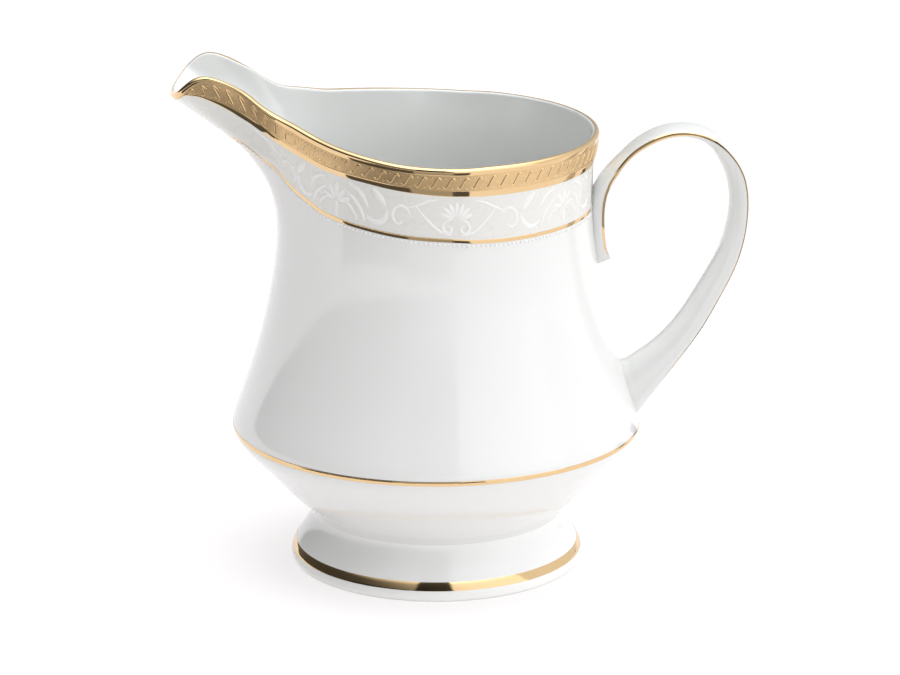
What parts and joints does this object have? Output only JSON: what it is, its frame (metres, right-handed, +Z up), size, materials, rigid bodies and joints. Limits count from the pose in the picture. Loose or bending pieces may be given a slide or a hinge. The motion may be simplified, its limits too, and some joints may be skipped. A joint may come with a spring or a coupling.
{
  "type": "porcelain cream jug",
  "caption": "Footed porcelain cream jug with a flared belly, pulled pouring spout, open loop handle, gilded rim and an ivory relief frieze",
  "frame": {"origin": "centre of the flat ring of the foot, on the jug axis, at table level", "axes": "+Z up along the jug axis, -X toward the pouring spout, +X toward the handle, Y across"},
  "size_m": [0.1235, 0.0888, 0.1101],
  "materials": {
    "glazed_porcelain": "clear gloss glaze over white porcelain",
    "burnished_gold": "burnished, mirror bright",
    "etched_gold": "acid-etched matte ground with bright raised waves",
    "ivory_enamel": "pale ivory lustre enamel, gloss",
    "relief_enamel": "raised white enamel, gloss"
  },
  "bodies": {
    "root": {"body_shell": "glazed_porcelain", "pedestal_foot": "glazed_porcelain", "handle": "glazed_porcelain", "lip_gilding": "burnished_gold", "rim_gold_band": "etched_gold", "rim_gold_line": "burnished_gold", "frieze_ground": "ivory_enamel", "frieze_scrolls": "relief_enamel", "frieze_gold_line": "burnished_gold", "bead_row": "relief_enamel", "belly_gold_line": "burnished_gold", "foot_gold_band": "burnished_gold", "handle_gold_line_near": "burnished_gold", "handle_gold_line_far": "burnished_gold"}
  },
  "joints": []
}
